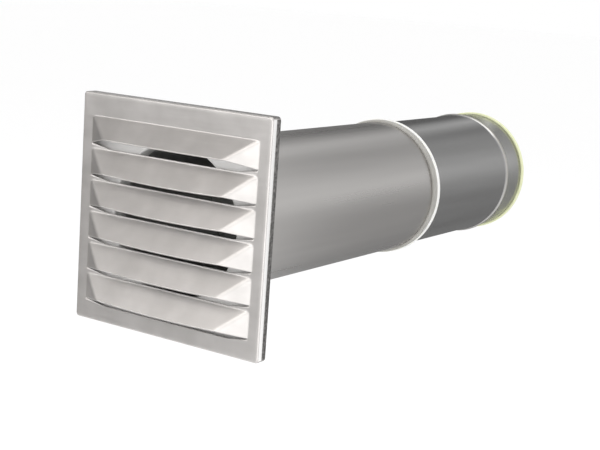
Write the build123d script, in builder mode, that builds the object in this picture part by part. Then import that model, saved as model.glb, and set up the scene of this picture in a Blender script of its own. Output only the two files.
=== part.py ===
import os
from math import hypot

from build123d import *

# Wall vent box: a louvred cover plate outside the wall and a telescopic duct through it.
# Millimetres. X runs to the right as seen from outside, Y into the wall, Z up.
# The origin is where the duct axis meets the wall plane.

# Cover plate, one pressed sheet with its edges folded back to the wall
plate_side = 190.0
plate_depth = 10.0
plate_sheet = 0.8
plate_bend = 1.5
plate_corner = 3.0

# Louvres pressed forward out of the cover plate
louvre_count = 6
top_margin = 18.6
bottom_margin = 14.2
side_margin = 10.5
louvre_depth = 13.5
louvre_run = 23.5
louvre_hip = 12.0
lip_rise = 2.3
lip_bow = 1.2
first_lip_rise = 5.2
first_lip_bow = 0.3
slot_dip = 3.7
slot_taper = 20.0
slat_strip = 0.6

# Flange plate behind the cover, a tray with a drawn collar for the duct
flange_sheet = 0.8
flange_depth = 4.0
flange_bend = 1.5
flange_corner = 2.1
nest_clearance = 0.1
collar_bend = 2.5
collar_length = 14.0
weld_clearance = 0.1

# Outer duct tube, joined to the collar
tube_sheet = 0.6
inner_tube_diameter = 125.0
slide_gap = 0.6
outer_tube_end = 318.5
edge_gap = 0.5

# Inner duct tube, drawn out by the length that the wall needs
inner_tube_start = 126.0
inner_tube_end = 520.0
bead_from_end = 39.0
bead_height = 2.0
bead_width = 8.0

# Seal ring on the outer tube's end
seal_leg = 7.5
seal_leg_thickness = 2.2
seal_end_thickness = 3.0
seal_bead = 0.9
seal_bead_length = 4.0
seal_round = 0.6
seal_fit = 0.1
seal_lip_gap = 0.3

# Edge ring on the inner tube's far rim
edge_grip = 2.7
edge_end_thickness = 1.5
edge_outside = 2.0
edge_inside = 1.6
edge_round = 0.6
edge_fit = 0.1

# Derived heights and places
plate_front = -plate_depth
plate_rear_face = plate_front + plate_sheet
louvre_top = plate_side / 2 - top_margin
louvre_bottom = -plate_side / 2 + bottom_margin
louvre_pitch = (louvre_top - louvre_bottom) / louvre_count
slot_half = plate_side / 2 - side_margin
lip_half = slot_half - louvre_run
lip_front = plate_front - louvre_depth
cut_over = 1.0

flange_side = plate_side - 2 * (plate_sheet + nest_clearance)
flange_front = -flange_depth
inner_tube_radius = inner_tube_diameter / 2
outer_tube_bore = inner_tube_radius + slide_gap
outer_tube_radius = outer_tube_bore + tube_sheet
collar_outside = outer_tube_bore - weld_clearance
collar_inside = collar_outside - flange_sheet
collar_mouth = collar_inside + collar_bend
outer_tube_start = flange_front + collar_bend + edge_gap


def tray_form(side, depth, corner, bend):
    # A square block against the wall plane with rounded front edges
    with BuildPart() as form:
        with BuildSketch(Plane.XZ):
            RectangleRounded(side, side, corner)
        extrude(amount=depth)
        front_face = form.faces().sort_by(Axis.Y)[0]
        fillet(front_face.edges(), radius=bend)
    return form.part


def slot_height(row):
    # Height at which the slot under this louvre ends at both sides
    return louvre_top - (row + 1) * louvre_pitch + slot_dip


def bend_height(row):
    # Height of the bend line from which this louvre slants forward
    if row == 0:
        return louvre_top
    return slot_height(row - 1) - slot_dip - slat_strip


def lip_height(row):
    # Height of the middle of the lip, the louvre's free lower edge
    return slot_height(row) + (first_lip_rise if row == 0 else lip_rise)


def lip_line(row):
    # Lower edge of one louvre seen from the front, from slot end to slot end
    slot_z = slot_height(row)
    lip_z = lip_height(row)
    side_z = lip_z + (first_lip_bow if row == 0 else lip_bow)
    Line((-slot_half, slot_z), (-lip_half, side_z))
    ThreePointArc((-lip_half, side_z), (0, lip_z), (lip_half, side_z))
    Line((lip_half, side_z), (slot_half, slot_z))


def louvre_form(row, inset):
    # The pressed form of one louvre: its plan, cut by its slanting face, rounded at the hips
    # where that face meets the end walls, and cut along its lower edge
    bend_z = bend_height(row)
    slot_z = slot_height(row)
    roof_z = bend_z + plate_sheet
    edge_half = plate_side / 2
    side_slope = louvre_run / louvre_depth
    end_shift = inset * hypot(louvre_run, louvre_depth) / louvre_depth
    back = plate_front + plate_sheet / 2 if inset == 0 else plate_rear_face + cut_over
    front = lip_front + inset
    back_half = slot_half - end_shift + (back - plate_front) * side_slope
    front_half = slot_half - end_shift + (front - plate_front) * side_slope
    face_normal = (0, lip_height(row) - bend_z, louvre_depth)
    face_plane = Plane(origin=(0, plate_front, bend_z), x_dir=(1, 0, 0), z_dir=face_normal)
    with BuildPart() as form:
        with BuildSketch(Plane.XY.offset(slot_z)):
            with BuildLine():
                Polyline(
                    (-back_half, back),
                    (-front_half, front),
                    (front_half, front),
                    (back_half, back),
                    close=True,
                )
            make_face()
        extrude(amount=roof_z - slot_z)
        split(bisect_by=face_plane.offset(-inset), keep=Keep.BOTTOM)
        slanting_face = form.faces().filter_by(face_plane)[0]
        hips = slanting_face.edges().filter_by(Axis.X, reverse=True)
        fillet(hips, radius=louvre_hip - inset)
        with BuildSketch(Plane.XZ.offset(-back - cut_over)):
            with BuildLine():
                lip_line(row)
                Polyline(
                    (slot_half, slot_z),
                    (edge_half, slot_z),
                    (edge_half, roof_z),
                    (-edge_half, roof_z),
                    (-edge_half, slot_z),
                    (-slot_half, slot_z),
                )
            make_face()
        extrude(amount=back - lip_front + 2 * cut_over, mode=Mode.INTERSECT)
    return form.part


# Cover plate with its louvres
with BuildPart() as louvre_plate:
    add(tray_form(plate_side, plate_depth, plate_corner, plate_bend))
    for row in range(louvre_count):
        add(louvre_form(row, 0))
    add(
        tray_form(
            plate_side - 2 * plate_sheet,
            plate_depth - plate_sheet,
            plate_corner - plate_sheet,
            plate_bend - plate_sheet,
        ),
        mode=Mode.SUBTRACT,
    )
    for row in range(louvre_count):
        add(louvre_form(row, plate_sheet), mode=Mode.SUBTRACT)
    # Slots below the lips, wider in the middle
    with BuildSketch(Plane.XZ.offset(plate_depth - plate_sheet)):
        for row in range(louvre_count):
            slot_z = slot_height(row)
            with BuildLine():
                lip_line(row)
                Polyline(
                    (slot_half, slot_z),
                    (slot_half - slot_taper, slot_z - slot_dip),
                    (slot_taper - slot_half, slot_z - slot_dip),
                    (-slot_half, slot_z),
                )
            make_face()
    extrude(amount=plate_sheet, mode=Mode.SUBTRACT)
louvre_plate.part.label = "louvre_plate"

# Flange plate: a shallow tray nested in the cover, with a collar drawn into the duct
with BuildPart() as flange_plate:
    add(tray_form(flange_side, flange_depth, flange_corner, flange_bend))
    add(
        tray_form(
            flange_side - 2 * flange_sheet,
            flange_depth - flange_sheet,
            flange_corner - flange_sheet,
            flange_bend - flange_sheet,
        ),
        mode=Mode.SUBTRACT,
    )
    with BuildSketch(Plane.XZ):
        Circle(collar_mouth)
    extrude(amount=flange_depth, mode=Mode.SUBTRACT)
    with BuildSketch():
        with BuildLine():
            Line((collar_mouth + cut_over, flange_front), (collar_mouth, flange_front))
            RadiusArc(
                (collar_mouth, flange_front),
                (collar_inside, flange_front + collar_bend),
                collar_bend,
            )
            Polyline(
                (collar_inside, flange_front + collar_bend),
                (collar_inside, flange_front + collar_length),
                (collar_outside, flange_front + collar_length),
                (collar_outside, flange_front + collar_bend),
            )
            RadiusArc(
                (collar_outside, flange_front + collar_bend),
                (collar_mouth, flange_front + flange_sheet),
                flange_sheet - collar_bend,
            )
            Polyline(
                (collar_mouth, flange_front + flange_sheet),
                (collar_mouth + cut_over, flange_front + flange_sheet),
                (collar_mouth + cut_over, flange_front),
            )
        make_face()
    revolve(axis=Axis.Y)
flange_plate.part.label = "flange_plate"

# Outer duct tube
with BuildPart() as outer_tube:
    with BuildSketch(Plane.XZ.offset(-outer_tube_start)):
        Circle(outer_tube_radius)
        Circle(outer_tube_bore, mode=Mode.SUBTRACT)
    extrude(amount=outer_tube_start - outer_tube_end)
outer_tube.part.label = "outer_tube"

# Inner duct tube with a stop bead rolled outward near its far end
bead_place = inner_tube_end - bead_from_end
bead_near = bead_place - bead_width / 2
bead_far = bead_place + bead_width / 2
inner_tube_bore = inner_tube_radius - tube_sheet
with BuildPart() as inner_tube:
    with BuildSketch():
        with BuildLine():
            Line((inner_tube_radius, inner_tube_start), (inner_tube_radius, bead_near))
            ThreePointArc(
                (inner_tube_radius, bead_near),
                (inner_tube_radius + bead_height, bead_place),
                (inner_tube_radius, bead_far),
            )
            Polyline(
                (inner_tube_radius, bead_far),
                (inner_tube_radius, inner_tube_end),
                (inner_tube_bore, inner_tube_end),
                (inner_tube_bore, bead_far),
            )
            ThreePointArc(
                (inner_tube_bore, bead_far),
                (inner_tube_bore + bead_height, bead_place),
                (inner_tube_bore, bead_near),
            )
            Polyline(
                (inner_tube_bore, bead_near),
                (inner_tube_bore, inner_tube_start),
                (inner_tube_radius, inner_tube_start),
            )
        make_face()
    revolve(axis=Axis.Y)
inner_tube.part.label = "inner_tube"

# Seal ring: a leg round the outer tube, a beaded end and a lip that reaches to the inner tube
seal_inside = outer_tube_radius + seal_fit
seal_outside = seal_inside + seal_leg_thickness
seal_lip = inner_tube_radius + seal_lip_gap
seal_end = outer_tube_end + seal_end_thickness
with BuildPart() as tube_seal_ring:
    with BuildSketch() as seal_section:
        with BuildLine():
            Polyline(
                (seal_inside, outer_tube_end - seal_leg),
                (seal_outside, outer_tube_end - seal_leg),
                (seal_outside, seal_end - seal_bead_length),
                (seal_outside + seal_bead, seal_end - seal_bead_length),
                (seal_outside + seal_bead, seal_end),
                (seal_lip, seal_end),
                (seal_lip, outer_tube_end),
                (seal_inside, outer_tube_end),
                close=True,
            )
        make_face()
        fillet(seal_section.vertices().group_by(Axis.X)[-1], radius=seal_round)
    revolve(axis=Axis.Y)
tube_seal_ring.part.label = "tube_seal_ring"

# Edge ring that grips the inner tube's far rim
grip_start = inner_tube_end - edge_grip
edge_end = inner_tube_end + edge_end_thickness
with BuildPart() as end_edge_ring:
    with BuildSketch() as edge_section:
        with BuildLine():
            Polyline(
                (inner_tube_radius + edge_fit, grip_start),
                (inner_tube_radius + edge_outside, grip_start),
                (inner_tube_radius + edge_outside, edge_end),
                (inner_tube_bore - edge_inside, edge_end),
                (inner_tube_bore - edge_inside, grip_start),
                (inner_tube_bore - edge_fit, grip_start),
                (inner_tube_bore - edge_fit, inner_tube_end),
                (inner_tube_radius + edge_fit, inner_tube_end),
                close=True,
            )
        make_face()
        fillet(edge_section.vertices().group_by(Axis.Y)[-1], radius=edge_round)
    revolve(axis=Axis.Y)
end_edge_ring.part.label = "end_edge_ring"

os.makedirs("parts", exist_ok=True)
for piece in (louvre_plate, flange_plate, outer_tube, inner_tube, tube_seal_ring, end_edge_ring):
    export_step(piece.part, f"parts/{piece.part.label}.step")
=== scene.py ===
import math

import bmesh
import bpy
from mathutils import Matrix, Vector


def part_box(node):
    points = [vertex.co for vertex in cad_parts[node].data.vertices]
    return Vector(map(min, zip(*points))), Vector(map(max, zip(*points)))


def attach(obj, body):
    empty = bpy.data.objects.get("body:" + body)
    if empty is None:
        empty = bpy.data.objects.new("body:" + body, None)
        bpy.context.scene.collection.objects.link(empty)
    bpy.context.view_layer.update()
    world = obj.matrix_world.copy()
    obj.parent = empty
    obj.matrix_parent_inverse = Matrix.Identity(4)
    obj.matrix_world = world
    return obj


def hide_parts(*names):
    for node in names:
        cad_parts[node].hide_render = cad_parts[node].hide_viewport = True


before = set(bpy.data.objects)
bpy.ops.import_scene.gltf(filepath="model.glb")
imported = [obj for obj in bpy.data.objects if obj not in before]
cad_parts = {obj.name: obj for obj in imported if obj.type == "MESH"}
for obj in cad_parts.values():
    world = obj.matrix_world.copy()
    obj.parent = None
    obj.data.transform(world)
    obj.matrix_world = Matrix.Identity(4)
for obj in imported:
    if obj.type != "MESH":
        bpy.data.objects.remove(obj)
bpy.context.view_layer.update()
mm = 0.001
wholeTurn = 2 * math.pi
near = 1e-6
snap = 1e-5
flatFrom = 0.9999  # faces that look this squarely along the duct are flat sheet
foldBelow = 1.5  # at a fold, the two faces' looks along the duct add up to less
noiseLow, noiseHigh = 0.3, 0.7  # most noise values lie between these
sheetSharp, ringSharp = 50, 60  # edges with a larger angle, in degrees, stay sharp
ringSegments = 160


# shared helpers

def spread(marks):
    # positions from the first mark to the last, each span cut into its own number of steps
    places = [marks[0][0]]
    for (start, steps), following in zip(marks, marks[1:]):
        reach = following[0] - start
        for step in range(1, steps + 1):
            places.append(start + reach * step / steps)
    return places


def sheetGrid(bm, columns, rows, depth):
    # a flat grid of sheet at y = depth with its lines on the given columns and rows
    made = bmesh.ops.create_grid(bm, x_segments=len(columns) - 1, y_segments=len(rows) - 1, size=1)
    for v in made["verts"]:
        column = round((v.co.x + 1) / 2 * (len(columns) - 1))
        row = round((v.co.y + 1) / 2 * (len(rows) - 1))
        v.co = (columns[column], depth, rows[row])


def extruded(bm, edges):
    # extrude edges; gives the edges at the new end and the new points
    made = bmesh.ops.extrude_edge_only(bm, edges=edges)["geom"]
    points = [g for g in made if isinstance(g, bmesh.types.BMVert)]
    fresh = set(points)
    ends = [g for g in made if isinstance(g, bmesh.types.BMEdge) and fresh.issuperset(g.verts)]
    return ends, points


def roundEdges(bm, edges, radius, segments):
    bmesh.ops.bevel(bm, geom=edges, offset=radius, affect="EDGES", segments=segments, profile=0.5,
                    material=-1)


def foldRim(bm, half, front, back, corner, bend, segments):
    # fold the outer edge of a flat square sheet back, with round corners and a round bend
    limit = half - snap
    outline = [e for e in bm.edges
               if e.is_boundary and all(max(abs(v.co.x), abs(v.co.z)) > limit for v in e.verts)]
    points = extruded(bm, outline)[1]
    bmesh.ops.translate(bm, verts=points, vec=(0, back - front, 0))
    corners = [e for e in bm.edges if all(min(abs(v.co.x), abs(v.co.z)) > limit for v in e.verts)]
    roundEdges(bm, corners, corner, segments)
    foldLine = [e for e in bm.edges
                if len(e.link_faces) == 2 and all(abs(v.co.y - front) < near for v in e.verts)
                and sum(abs(f.normal.y) for f in e.link_faces) < foldBelow]
    roundEdges(bm, foldLine, bend, segments)


def spunRing(points, rounds):
    # a ring about the duct axis from a closed section of (radius, y) points, some of them rounded
    bm = bmesh.new()
    corners = [bm.verts.new((radius, y, 0)) for radius, y in points]
    bm.faces.new(corners)
    for place, (radius, steps) in rounds.items():
        bmesh.ops.bevel(bm, geom=[corners[place]], offset=radius, affect="VERTICES", segments=steps,
                        profile=0.5, material=-1)
    bmesh.ops.delete(bm, geom=bm.faces[:], context="FACES_ONLY")
    bmesh.ops.spin(bm, geom=bm.verts[:] + bm.edges[:], cent=(0, 0, 0), axis=(0, 1, 0), dvec=(0, 0, 0),
                   angle=wholeTurn, steps=ringSegments, use_merge=True, use_normal_flip=False,
                   use_duplicate=False)
    bmesh.ops.remove_doubles(bm, verts=bm.verts[:], dist=near)
    bmesh.ops.recalc_face_normals(bm, faces=bm.faces[:])
    return bm


def makePiece(name, bm, materials, body, node, sharpAngle):
    mesh = bpy.data.meshes.new(name)
    bm.to_mesh(mesh)
    bm.free()
    for material in materials:
        mesh.materials.append(material)
    # sheet that lies flat keeps flat shading, so the folds round it leave no streaks on it
    mesh.polygons.foreach_set("use_smooth", [abs(p.normal.y) < flatFrom for p in mesh.polygons])
    mesh.set_sharp_from_angle(angle=math.radians(sharpAngle))
    piece = bpy.data.objects.new(name, mesh)
    bpy.context.scene.collection.objects.link(piece)
    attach(piece, body)
    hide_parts(node)
    return piece


def addThickness(piece, sheet):
    thickness = piece.modifiers.new("sheetThickness", "SOLIDIFY")
    thickness.thickness = sheet
    thickness.offset = -1
    thickness.use_even_offset = True


# materials

def newMaterial(name):
    material = bpy.data.materials.new(name)
    material.use_nodes = True
    tree = material.node_tree
    return material, tree, tree.nodes["Principled BSDF"]


def noiseAt(tree, scale, stretch, detail):
    # noise on object coordinates, stretched along one way of the sheet
    coords = tree.nodes.new("ShaderNodeTexCoord")
    mapping = tree.nodes.new("ShaderNodeMapping")
    mapping.inputs["Scale"].default_value = stretch
    noise = tree.nodes.new("ShaderNodeTexNoise")
    noise.inputs["Scale"].default_value = scale
    noise.inputs["Detail"].default_value = detail
    tree.links.new(coords.outputs["Object"], mapping.inputs["Vector"])
    tree.links.new(mapping.outputs["Vector"], noise.inputs["Vector"])
    return noise.outputs["Fac"]


def ramp(tree, factor, low, high):
    node = tree.nodes.new("ShaderNodeValToRGB")
    marks = node.color_ramp.elements
    marks[0].position, marks[1].position = noiseLow, noiseHigh
    marks[0].color = (*low, 1)
    marks[1].color = (*high, 1)
    tree.links.new(factor, node.inputs["Fac"])
    return node.outputs["Color"]


def spanValue(tree, factor, low, high):
    node = tree.nodes.new("ShaderNodeMapRange")
    node.inputs["From Min"].default_value = noiseLow
    node.inputs["From Max"].default_value = noiseHigh
    node.inputs["To Min"].default_value = low
    node.inputs["To Max"].default_value = high
    tree.links.new(factor, node.inputs["Value"])
    return node.outputs["Result"]


def addBump(tree, shader, height, strength, distance):
    bump = tree.nodes.new("ShaderNodeBump")
    bump.inputs["Strength"].default_value = strength
    bump.inputs["Distance"].default_value = distance
    tree.links.new(height, bump.inputs["Height"])
    tree.links.new(bump.outputs["Normal"], shader.inputs["Normal"])


sheetNoise = {"cloudDetail": 2, "grainDetail": 3, "bumpDepth": 2 * mm}


def sheetSteel(name, low, high, cloud, rough, grain, wave, metal=1.0):
    # satin sheet steel: slow streaks or clouds in tone, a fine rolled grain and a faint waviness
    material, tree, shader = newMaterial(name)
    shader.inputs["Metallic"].default_value = metal
    streaks = noiseAt(tree, *cloud, sheetNoise["cloudDetail"])
    fine = noiseAt(tree, *grain, sheetNoise["grainDetail"])
    tree.links.new(ramp(tree, streaks, low, high), shader.inputs["Base Color"])
    tree.links.new(spanValue(tree, fine, *rough), shader.inputs["Roughness"])
    addBump(tree, shader, streaks, wave, sheetNoise["bumpDepth"])
    return material


# clouds and grains: a noise scale and how it is stretched along x, y and z
evenly = (1, 1, 1)
ductStreaks = (42, (1, 0.05, 1))
coverGrain, ductGrain = (6, (6, 60, 160)), (5, (30, 0.6, 30))
steels = {
    "cover": {"low": (0.49, 0.474, 0.461), "high": (0.57, 0.551, 0.538), "cloud": (45, evenly),
              "rough": (0.45, 0.51), "grain": coverGrain, "wave": 0.03},
    # painted shade: dark mottled steel for the rear of the upright rims and for the level rims
    "rim": {"low": (0.10, 0.097, 0.095), "high": (0.34, 0.33, 0.32), "cloud": (420, evenly),
            "rough": (0.45, 0.60), "grain": (6, (60, 60, 60)), "wave": 0.02},
    # painted highlight: near-white steel on the front of the upright rims, standing in for the fold's
    # highlight
    "paintedHighlightRim": {"low": (0.90, 0.89, 0.88), "high": (0.95, 0.94, 0.93), "cloud": (9, evenly),
                  "rough": (0.28, 0.34), "grain": coverGrain, "wave": 0.01},
    # painted light: the flange's steel is much lighter and partly diffuse, so the plate seen through the
    # slots looks lit
    "flange": {"low": (0.78, 0.77, 0.76), "high": (0.84, 0.83, 0.82), "cloud": (9, evenly),
               "rough": (0.50, 0.62), "grain": (6, (60, 60, 6)), "wave": 0.05, "metal": 0.4},
    "duct": {"low": (0.49, 0.476, 0.465), "high": (0.56, 0.545, 0.53), "cloud": ductStreaks,
             "rough": (0.27, 0.31), "grain": ductGrain, "wave": 0.002},
    "innerDuct": {"low": (0.335, 0.333, 0.33), "high": (0.41, 0.408, 0.405), "cloud": ductStreaks,
                  "rough": (0.20, 0.24), "grain": ductGrain, "wave": 0.002},
    # painted highlight: brighter steel on the bead's crest for its light line
    "bead": {"low": (0.47, 0.455, 0.43), "high": (0.54, 0.525, 0.50), "cloud": ductStreaks,
             "rough": (0.30, 0.36), "grain": ductGrain, "wave": 0.002},
    # painted light: the tubes' inside faces get their own steel, its tone set for how light the shaded
    # inside looks
    "ductInsidePaintedLight": {"low": (0.47, 0.47, 0.46), "high": (0.53, 0.53, 0.52), "cloud": ductStreaks,
                   "rough": (0.40, 0.50), "grain": ductGrain, "wave": 0.03},
}
milky = {"reach": (4 * mm, 4 * mm, 3.5 * mm), "cloud": 60, "fine": 900, "detail": 2, "rough": (0.35, 0.5),
         "bump": 0.15, "bumpDepth": 0.4 * mm}


def milkyPlastic(name, low, high, through):
    # soft milky plastic that lets some light through
    material, tree, shader = newMaterial(name)
    shader.inputs["Subsurface Weight"].default_value = through
    shader.inputs["Subsurface Radius"].default_value = milky["reach"]
    shader.inputs["Subsurface Scale"].default_value = 1.0
    cloud = noiseAt(tree, milky["cloud"], evenly, milky["detail"])
    fine = noiseAt(tree, milky["fine"], evenly, milky["detail"])
    tree.links.new(ramp(tree, cloud, low, high), shader.inputs["Base Color"])
    tree.links.new(spanValue(tree, fine, *milky["rough"]), shader.inputs["Roughness"])
    addBump(tree, shader, fine, milky["bump"], milky["bumpDepth"])
    return material


plastics = {
    "sealLeg": {"low": (0.33, 0.322, 0.30), "high": (0.39, 0.38, 0.355), "through": 0.3},
    "sealBead": {"low": (0.80, 0.80, 0.77), "high": (0.86, 0.86, 0.84), "through": 0.4},
    "edge": {"low": (0.70, 0.73, 0.45), "high": (0.76, 0.79, 0.51), "through": 0.4},
}

coverSteel = sheetSteel("coverSteel", **steels["cover"])
# painted shade: the rims' dark steel
rimSteel = sheetSteel("rimSteel", **steels["rim"])
# painted highlight: the rims' near-white steel
rimPaintedHighlightSteel = sheetSteel("rimPaintedHighlightSteel", **steels["paintedHighlightRim"])
# painted light: the flange's light steel
flangePaintedLightSteel = sheetSteel("flangePaintedLightSteel", **steels["flange"])
ductSteel = sheetSteel("ductSteel", **steels["duct"])
innerDuctSteel = sheetSteel("innerDuctSteel", **steels["innerDuct"])
# painted light: steel for the tubes' shaded inside
ductInsidePaintedLightSteel = sheetSteel("ductInsidePaintedLightSteel", **steels["ductInsidePaintedLight"])
# painted highlight: the bead's brighter steel
beadPaintedHighlightSteel = sheetSteel("beadPaintedHighlightSteel", **steels["bead"])
sealLegPlastic = milkyPlastic("sealLegPlastic", **plastics["sealLeg"])
sealBeadPlastic = milkyPlastic("sealBeadPlastic", **plastics["sealBead"])
edgePlastic = milkyPlastic("edgePlastic", **plastics["edge"])
print("materials made")

# louvred cover: one sheet, lanced along six slots and pressed forward above each

plateLow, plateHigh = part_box("louvre_plate")
louvres = {
    "count": 6, "topMargin": 18.6 * mm, "bottomMargin": 14.2 * mm, "sideMargin": 10.5 * mm,
    "rimDepth": 10 * mm, "sheet": 0.8 * mm, "bend": 1.5 * mm, "corner": 3 * mm, "foldWidth": 4 * mm,
    "run": 23.5 * mm, "lipRise": 2.3 * mm, "lipBow": 1.2 * mm, "firstLipRise": 5.2 * mm,
    "firstLipBow": 0.3 * mm, "slotDip": 3.7 * mm, "slotTaper": 20 * mm, "strip": 0.6 * mm,
    "support": 0.3 * mm, "topBend": 0.2 * mm, "slatBend": 0.15 * mm, "footBend": 0.3 * mm,
    "hipRound": 2.1 * mm, "lipOverlap": 4 * mm,
    "rimBand": 1 * mm, "rimShadeFrom": -5 * mm, "uprightFrom": 0.9, "levelBelow": 0.3,
    "rowSteps": 26, "stripSteps": 2, "endSteps": 32, "middleSteps": 24, "marginSteps": 4, "bendSteps": 5,
}
plateHalf = plateHigh.x
plateFront = plateHigh.y - louvres["rimDepth"]
pressDepth = plateFront - plateLow.y
slotHalf = plateHalf - louvres["sideMargin"]
lipHalf = slotHalf - louvres["run"]
louvreTop = plateHigh.z - louvres["topMargin"]
louvrePitch = (louvreTop - plateLow.z - louvres["bottomMargin"]) / louvres["count"]


def slotHeight(row):
    return louvreTop - (row + 1) * louvrePitch + louvres["slotDip"]


def bendHeight(row):
    return louvreTop if row == 0 else slotHeight(row - 1) - louvres["slotDip"] - louvres["strip"]


def lipHeight(row, x):
    # free lower edge of one louvre: a shallow bow between straight ends that run to the slot's ends
    rise = louvres["firstLipRise"] if row == 0 else louvres["lipRise"]
    bow = louvres["firstLipBow"] if row == 0 else louvres["lipBow"]
    middle = slotHeight(row) + rise
    if abs(x) <= lipHalf:
        return middle + bow * (x / lipHalf) ** 2
    share = min(1, (abs(x) - lipHalf) / louvres["run"])
    return middle + bow + (slotHeight(row) - middle - bow) * share


def easeIn(depth, bend):
    # a slope that starts with a round bend
    if depth <= 0:
        return 0
    return depth * depth / (2 * bend) if depth < bend else depth - bend / 2


def pressed(row, x, z):
    # how far the die pushes the sheet forward here: the lesser of face and end wall, rounded where they meet
    bend = louvres["topBend"] if row == 0 else louvres["slatBend"]
    span = bendHeight(row) - lipHeight(row, 0)
    fullFace = easeIn(pressDepth, bend)
    face = easeIn((bendHeight(row) - z) / span * pressDepth, bend) / fullFace * pressDepth
    wall = easeIn((slotHalf - abs(x)) / louvres["run"] * pressDepth, louvres["footBend"])
    hip = louvres["hipRound"]
    overlap = max(0, hip - abs(face - wall))
    return max(0, min(pressDepth, min(face, wall) - overlap * overlap / (4 * hip)))


def slotEdge(row, x):
    # lower edge of the slot: it dips between the slot's two ends
    inset = max(0, slotHalf - abs(x))
    return slotHeight(row) - louvres["slotDip"] * min(1, inset / louvres["slotTaper"])


def shapeLouvre(bm, row):
    # cut the slot, press the louvre above it forward and draw the sheet below down to the slot's lower edge
    slotZ, bendZ, nextBendZ = slotHeight(row), bendHeight(row), bendHeight(row + 1)
    reach = slotHalf + near
    inSlot = [e for e in bm.edges
              if all(abs(v.co.z - slotZ) < near and abs(v.co.x) < reach for v in e.verts)]
    bmesh.ops.split_edges(bm, edges=inSlot)
    span = [v for v in bm.verts if nextBendZ < v.co.z < bendZ - near and abs(v.co.x) < reach]
    below = {v for v in span
             if v.co.z < slotZ - near or max(f.calc_center_median().z for f in v.link_faces) < slotZ}
    for v in span:
        x, z = v.co.x, v.co.z
        if v in below:
            v.co.z = nextBendZ + (slotEdge(row, x) - nextBendZ) * (z - nextBendZ) / (slotZ - nextBendZ)
        else:
            v.co.z = bendZ + (lipHeight(row, x) - bendZ) * (bendZ - z) / (bendZ - slotZ)
            v.co.y = plateFront - pressed(row, x, v.co.z)


def paintRimShadeAndHighlight(bm):
    # painted highlight and painted shade: the front of the upright rims takes a near-white steel as the
    # fold's painted highlight; their rear and the level rims take a dark, mottled steel as painted shade
    bmesh.ops.bisect_plane(bm, geom=bm.verts[:] + bm.edges[:] + bm.faces[:], dist=near,
                           plane_co=(0, louvres["rimShadeFrom"], 0), plane_no=(0, 1, 0))
    bm.normal_update()
    band = plateHalf - louvres["rimBand"]
    for f in bm.faces:
        centre = f.calc_center_median()
        upright = abs(f.normal.x) > louvres["uprightFrom"] and abs(centre.x) > band
        level = abs(f.normal.y) < louvres["levelBelow"] and abs(centre.z) > band
        if level or upright and centre.y > louvres["rimShadeFrom"]:
            f.material_index = 1
        elif upright:
            f.material_index = 2


def buildLouvrePlate():
    fold = plateHalf - louvres["foldWidth"]
    lipEnd = lipHalf - louvres["lipOverlap"]
    margin, ends, middle = louvres["marginSteps"], louvres["endSteps"], louvres["middleSteps"]
    flatEnd = slotHalf + louvres["support"]
    columns = spread([(-plateHalf, 1), (-fold, margin), (-flatEnd, 1), (-slotHalf, ends), (-lipEnd, middle),
                      (lipEnd, ends), (slotHalf, 1), (flatEnd, margin), (fold, 1), (plateHalf, 1)])
    marks = [(-plateHalf, 1), (-fold, margin)]
    for row in reversed(range(louvres["count"])):
        marks += [(bendHeight(row + 1), louvres["stripSteps"]), (slotHeight(row), louvres["rowSteps"])]
    marks += [(bendHeight(0), 1), (bendHeight(0) + louvres["support"], margin), (fold, 1), (plateHalf, 1)]
    bm = bmesh.new()
    sheetGrid(bm, columns, spread(marks), plateFront)
    bmesh.ops.recalc_face_normals(bm, faces=bm.faces[:])
    if bm.faces[0].normal.y > 0:
        bmesh.ops.reverse_faces(bm, faces=bm.faces[:])
    for row in range(louvres["count"]):
        shapeLouvre(bm, row)
    foldRim(bm, plateHalf, plateFront, plateHigh.y, louvres["corner"], louvres["bend"], louvres["bendSteps"])
    paintRimShadeAndHighlight(bm)
    return bm


louvrePlate = makePiece("louvrePlate", buildLouvrePlate(), [coverSteel, rimSteel, rimPaintedHighlightSteel],
                        "wall_part", "louvre_plate", sheetSharp)
addThickness(louvrePlate, louvres["sheet"])
print("louvre plate made")

# flange plate: a shallow tray with a collar drawn into the duct

trayLow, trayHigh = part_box("flange_plate")
outerLow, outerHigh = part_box("outer_tube")
flange = {"sheet": 0.8 * mm, "depth": 4 * mm, "bend": 1.5 * mm, "corner": 2.1 * mm, "rimSteps": 4,
          "collarInside": 62.2 * mm, "collarBend": 2.5 * mm, "bendSteps": 6, "segments": 128,
          "webInset": 5 * mm, "webShare": 0.25}


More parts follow.
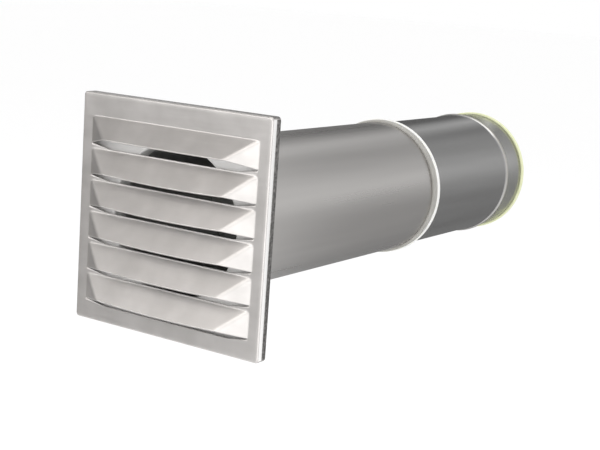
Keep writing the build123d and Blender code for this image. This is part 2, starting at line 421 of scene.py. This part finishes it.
def buildFlangePlate():
    half = trayHigh.x
    front = -flange["depth"]
    bend = flange["collarBend"]
    mouth = flange["collarInside"] + bend
    bm = bmesh.new()
    bmesh.ops.create_circle(bm, radius=mouth, segments=flange["segments"],
                            matrix=Matrix.Translation((0, front, 0)) @ Matrix.Rotation(math.pi / 2, 4, "X"))
    hole = bm.edges[:]
    # the web: from the hole to a wider circle, then to the square outline
    webCircle = mouth + (half - flange["webInset"] - mouth) * flange["webShare"]
    ring, points = extruded(bm, hole)
    for v in points:
        v.co.x *= webCircle / mouth
        v.co.z *= webCircle / mouth
    for v in extruded(bm, ring)[1]:
        stretch = half / max(abs(v.co.x), abs(v.co.z))
        v.co.x *= stretch
        v.co.z *= stretch
    # the collar: a round bend, then straight into the duct
    steps = flange["bendSteps"]
    angles = [math.pi / 2 * step / steps for step in range(1, steps + 1)]
    path = [(mouth - bend * math.sin(angle), front + bend * (1 - math.cos(angle))) for angle in angles]
    path.append((flange["collarInside"], trayHigh.y))
    ring = hole
    for radius, y in path:
        ring, points = extruded(bm, ring)
        for v in points:
            shrink = radius / math.hypot(v.co.x, v.co.z)
            v.co = (v.co.x * shrink, y, v.co.z * shrink)
    bmesh.ops.recalc_face_normals(bm, faces=bm.faces[:])
    webFace = max(bm.faces, key=lambda f: f.calc_area())
    if webFace.normal.y > 0:
        bmesh.ops.reverse_faces(bm, faces=bm.faces[:])
    foldRim(bm, half, front, 0, flange["corner"], flange["bend"], flange["rimSteps"])
    bm.normal_update()
    return bm


flangePlate = makePiece("flangePlate", buildFlangePlate(), [flangePaintedLightSteel], "wall_part", "flange_plate",
                        sheetSharp)
addThickness(flangePlate, flange["sheet"])
print("flange plate made")

# duct tubes and the rings on their ends, all spun about the duct axis

innerLow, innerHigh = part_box("inner_tube")
tubes = {"sheet": 0.6 * mm, "innerRadius": 62.5 * mm, "beadFromEnd": 39 * mm, "beadHeight": 2 * mm,
         "beadWidth": 8 * mm, "beadSteps": 8, "beadHighlightFrom": 0.7 * mm}


def litInsideFaces(bm, middleRadius):
    # faces that look to the duct axis take the second material, a steel whose tone is set for how light the
    # shaded inside of the duct looks: painted light
    bm.normal_update()
    for f in bm.faces:
        centre = f.calc_center_median()
        inward = f.normal.x * centre.x + f.normal.z * centre.z < 0
        if inward and math.hypot(centre.x, centre.z) < middleRadius:
            f.material_index = 1


def buildOuterTube():
    outside = outerHigh.x
    inside = outside - tubes["sheet"]
    section = [(inside, outerLow.y), (outside, outerLow.y), (outside, outerHigh.y), (inside, outerHigh.y)]
    bm = spunRing(section, {})
    litInsideFaces(bm, (inside + outside) / 2)
    return bm


def beadLine(radius):
    # a tube wall from near end to far end with the rolled bead in it
    centre = innerHigh.y - tubes["beadFromEnd"]
    half = tubes["beadWidth"] / 2
    line = [(radius, innerLow.y)]
    for step in range(tubes["beadSteps"] + 1):
        along = -half + 2 * half * step / tubes["beadSteps"]
        rise = tubes["beadHeight"] * (1 + math.cos(math.pi * along / half)) / 2
        line.append((radius + rise, centre + along))
    line.append((radius, innerHigh.y))
    return line


def buildInnerTube():
    outside = tubes["innerRadius"]
    inside = outside - tubes["sheet"]
    bm = spunRing(beadLine(outside) + beadLine(inside)[::-1], {})
    litInsideFaces(bm, outside + tubes["beadHeight"])
    for f in bm.faces:
        # painted highlight: the rolled bead's outer faces take a brighter steel that stands in for the
        # bead's light line
        centre = f.calc_center_median()
        if f.material_index == 0 and math.hypot(centre.x, centre.z) > outside + tubes["beadHighlightFrom"]:
            f.material_index = 2
    return bm


makePiece("outerTube", buildOuterTube(), [ductSteel, ductInsidePaintedLightSteel], "wall_part", "outer_tube",
          sheetSharp)
makePiece("innerTube", buildInnerTube(), [innerDuctSteel, ductInsidePaintedLightSteel, beadPaintedHighlightSteel], "sliding_duct",
          "inner_tube", sheetSharp)
print("tubes made")

sealLow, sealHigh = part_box("tube_seal_ring")
seal = {"legThickness": 2.2 * mm, "bead": 0.9 * mm, "beadLength": 4 * mm, "lipGap": 0.3 * mm,
        "fit": 0.1 * mm, "round": 0.45 * mm, "legRound": 0.8 * mm, "steps": 4, "lipSteps": 3}


def buildSealRing():
    inside = outerHigh.x + seal["fit"]
    legOut = inside + seal["legThickness"]
    beadOut = legOut + seal["bead"]
    lip = tubes["innerRadius"] + seal["lipGap"]
    beadStart = sealHigh.y - seal["beadLength"]
    section = [(inside, sealLow.y), (legOut, sealLow.y), (legOut, beadStart), (beadOut, beadStart),
               (beadOut, sealHigh.y), (lip, sealHigh.y), (lip, outerHigh.y), (inside, outerHigh.y)]
    beadRound = (seal["round"], seal["steps"])
    rounds = {1: (seal["legRound"], seal["steps"]), 3: beadRound, 4: beadRound,
              5: (seal["round"], seal["lipSteps"])}
    bm = spunRing(section, rounds)
    for f in bm.faces:
        if f.calc_center_median().y > beadStart - near:
            f.material_index = 1
    return bm


edgeLow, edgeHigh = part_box("end_edge_ring")
edgeRing = {"fit": 0.1 * mm, "inside": 1.6 * mm, "round": 0.6 * mm, "lipRound": 0.4 * mm, "steps": 4,
            "lipSteps": 3}


def buildEdgeRing():
    outside = edgeHigh.x
    inside = tubes["innerRadius"] - tubes["sheet"] - edgeRing["inside"]
    gripOut = tubes["innerRadius"] + edgeRing["fit"]
    gripIn = tubes["innerRadius"] - tubes["sheet"] - edgeRing["fit"]
    section = [(gripOut, edgeLow.y), (outside, edgeLow.y), (outside, edgeHigh.y), (inside, edgeHigh.y),
               (inside, edgeLow.y), (gripIn, edgeLow.y), (gripIn, innerHigh.y), (gripOut, innerHigh.y)]
    lipRound = (edgeRing["lipRound"], edgeRing["lipSteps"])
    endRound = (edgeRing["round"], edgeRing["steps"])
    return spunRing(section, {1: lipRound, 2: endRound, 3: endRound, 4: lipRound})


makePiece("tubeSealRing", buildSealRing(), [sealLegPlastic, sealBeadPlastic], "wall_part", "tube_seal_ring",
          ringSharp)
makePiece("endEdgeRing", buildEdgeRing(), [edgePlastic], "sliding_duct", "end_edge_ring",
          ringSharp)
print("rings made")

# studio: pale floor, white surroundings, lamps and reflection cards

studio = {"floorDrop": 0.55, "floorSize": 60, "floorColour": (0.99, 0.99, 0.99), "floorRough": 0.9,
          "floorGloss": 0.1, "fill": 1.0, "discSegments": 64}
origin = (0, 0, 0)


def stageSheet(name, bm, place, aim, material):
    turn = (Vector(aim) - Vector(place)).to_track_quat("Z", "Y").to_matrix().to_4x4()
    bm.transform(Matrix.Translation(place) @ turn)
    mesh = bpy.data.meshes.new(name)
    bm.to_mesh(mesh)
    bm.free()
    mesh.materials.append(material)
    plane = bpy.data.objects.new(name, mesh)
    bpy.context.scene.collection.objects.link(plane)
    return plane


def stagePlane(name, size, place, aim, material):
    bm = bmesh.new()
    bmesh.ops.create_grid(bm, x_segments=1, y_segments=1, size=0.5)
    for v in bm.verts:
        v.co.x *= size[0]
        v.co.y *= size[1]
    return stageSheet(name, bm, place, aim, material)


def addFloor():
    material, tree, shader = newMaterial("paleFloor")
    shader.inputs["Base Color"].default_value = (*studio["floorColour"], 1)
    shader.inputs["Roughness"].default_value = studio["floorRough"]
    shader.inputs["Specular IOR Level"].default_value = studio["floorGloss"]
    height = plateLow.z - studio["floorDrop"]
    size = (studio["floorSize"], studio["floorSize"])
    stagePlane("floor", size, (0, 0, height), (0, 0, height + 1), material)


def whiteWorld():
    world = bpy.data.worlds.new("whiteStudio")
    bpy.context.scene.world = world
    world.use_nodes = True
    background = world.node_tree.nodes["Background"]
    background.inputs["Color"].default_value = (1, 1, 1, 1)
    background.inputs["Strength"].default_value = studio["fill"]


addFloor()
whiteWorld()

cards = {
    "upperLeftCard": {"size": (1.2, 1.3), "place": (-1.15, -0.55, 1.15), "colour": (0.08, 0.077, 0.074)},
    "upperFrontCard": {"size": (1.2, 1.3), "place": (-0.35, -1.25, 1.25), "colour": (2.35, 2.27, 2.19)},
    "lowLeftCard": {"size": (0.9, 1.0), "place": (-1.1, -0.6, -0.2), "colour": (0.5, 0.49, 0.48)},
    "lowFrontLeftCard": {"size": (0.6, 1.0), "place": (-0.75, -1.0, -0.2), "colour": (0.02, 0.02, 0.02)},
    "lowFrontCard": {"size": (0.7, 1.0), "place": (-0.25, -1.25, -0.2), "colour": (1.1, 1.1, 1.1)},
    "leftSideCard": {"size": (2.0, 1.6), "place": (-1.5, -0.15, 0.2), "colour": (0.04, 0.039, 0.038)},
    "rightFrontCard": {"size": (0.8, 0.9), "place": (1.0, -0.8, -0.2), "colour": (2.6, 2.6, 2.6)},
}

# cards behind the duct, one for each tube, with the studio's light and dark sides as plain grey levels
# by the angle round the duct axis, in degrees: from the right as seen from outside, with upward positive
ductCards = {
    "outerDuctCard": {"radius": 0.55, "distance": 0.145},
    "innerDuctCard": {"radius": 0.27, "distance": 0.14},
}
studioSides = [(-180, 0.1), (-90, 0.3), (-20, 0.4), (20, 0.8), (80, 0.4), (100, 0.8), (120, 0.2)]
firstAngle, lastAngle = -180, 180


def cardMaterial(name, colour):
    material = bpy.data.materials.new(name)
    material.use_nodes = True
    tree = material.node_tree
    tree.nodes.remove(tree.nodes["Principled BSDF"])
    glow = tree.nodes.new("ShaderNodeEmission")
    glow.inputs["Color"].default_value = (*colour, 1)
    tree.links.new(glow.outputs["Emission"], tree.nodes["Material Output"].inputs["Surface"])
    return material


def anglePattern(material, stops):
    # grey levels round the duct axis for a card's glow
    tree = material.node_tree
    coords = tree.nodes.new("ShaderNodeTexCoord")
    turn = tree.nodes.new("ShaderNodeMapping")
    turn.inputs["Rotation"].default_value = (-math.pi / 2, 0, 0)
    angle = tree.nodes.new("ShaderNodeTexGradient")
    angle.gradient_type = "RADIAL"
    tones = tree.nodes.new("ShaderNodeValToRGB")
    marks = tones.color_ramp.elements
    for degrees, level in stops:
        share = (degrees - firstAngle) / (lastAngle - firstAngle)
        mark = marks[0] if degrees == firstAngle else marks.new(share)
        mark.color = (level, level, level, 1)
    marks[len(marks) - 1].color = marks[0].color
    tree.links.new(coords.outputs["Object"], turn.inputs["Vector"])
    tree.links.new(turn.outputs["Vector"], angle.inputs["Vector"])
    tree.links.new(angle.outputs["Fac"], tones.inputs["Fac"])
    tree.links.new(tones.outputs["Color"], tree.nodes["Emission"].inputs["Color"])


def hideFromCamera(card):
    # cards show only in the metal's reflections
    card.visible_camera = False
    card.visible_diffuse = False
    card.visible_shadow = False


def addCards():
    for name, card in cards.items():
        material = cardMaterial(name, card["colour"])
        hideFromCamera(stagePlane(name, card["size"], card["place"], origin, material))
    for name, card in ductCards.items():
        material = cardMaterial(name, (1, 1, 1))
        anglePattern(material, studioSides)
        disc = bmesh.new()
        bmesh.ops.create_circle(disc, cap_ends=True, segments=studio["discSegments"], radius=card["radius"])
        place = (0, edgeHigh.y + card["distance"], 0)
        hideFromCamera(stageSheet(name, disc, place, origin, material))


addCards()

lamps = {
    "overhead": {"size": (1.6, 1.6), "place": (0.4, 0.2, 2.2), "aim": (0, 0.2, 0), "power": 14},
    "frontRight": {"size": (0.78, 0.72), "place": (0.4, -1.47, -0.1), "aim": origin, "power": 4},
    "frontLeft": {"size": (1.4, 0.5), "place": (-0.88, -1.4, 0.62), "aim": origin, "power": 8},
}


def addLamps():
    for name, lamp in lamps.items():
        light = bpy.data.lights.new(name, "AREA")
        light.shape = "RECTANGLE"
        light.size, light.size_y = lamp["size"]
        light.energy = lamp["power"]
        holder = bpy.data.objects.new(name, light)
        bpy.context.scene.collection.objects.link(holder)
        holder.location = lamp["place"]
        aim = Vector(lamp["aim"]) - Vector(lamp["place"])
        holder.rotation_euler = aim.to_track_quat("-Z", "Y").to_euler()


addLamps()

# the camera fitted to the photo; angles in degrees, sensor in millimetres
view = {"place": (0.63933, -0.79040, 0.19496), "yaw": 33.389, "pitch": 10.667, "roll": 4.071,
        "focalPixels": 1291.2, "imageWidth": 600, "sensor": 36}


def addCamera():
    camera = bpy.data.cameras.new("photoCamera")
    camera.sensor_width = view["sensor"]
    camera.lens = view["focalPixels"] / view["imageWidth"] * view["sensor"]
    holder = bpy.data.objects.new("photoCamera", camera)
    bpy.context.scene.collection.objects.link(holder)
    turn = Matrix.Rotation(math.radians(view["yaw"]), 4, "Z")
    turn = turn @ Matrix.Rotation(math.pi / 2 - math.radians(view["pitch"]), 4, "X")
    turn = turn @ Matrix.Rotation(math.radians(view["roll"]), 4, "Z")
    holder.matrix_world = Matrix.Translation(view["place"]) @ turn
    bpy.context.scene.camera = holder


addCamera()
bpy.context.scene.view_settings.view_transform = "Standard"
print("studio made")
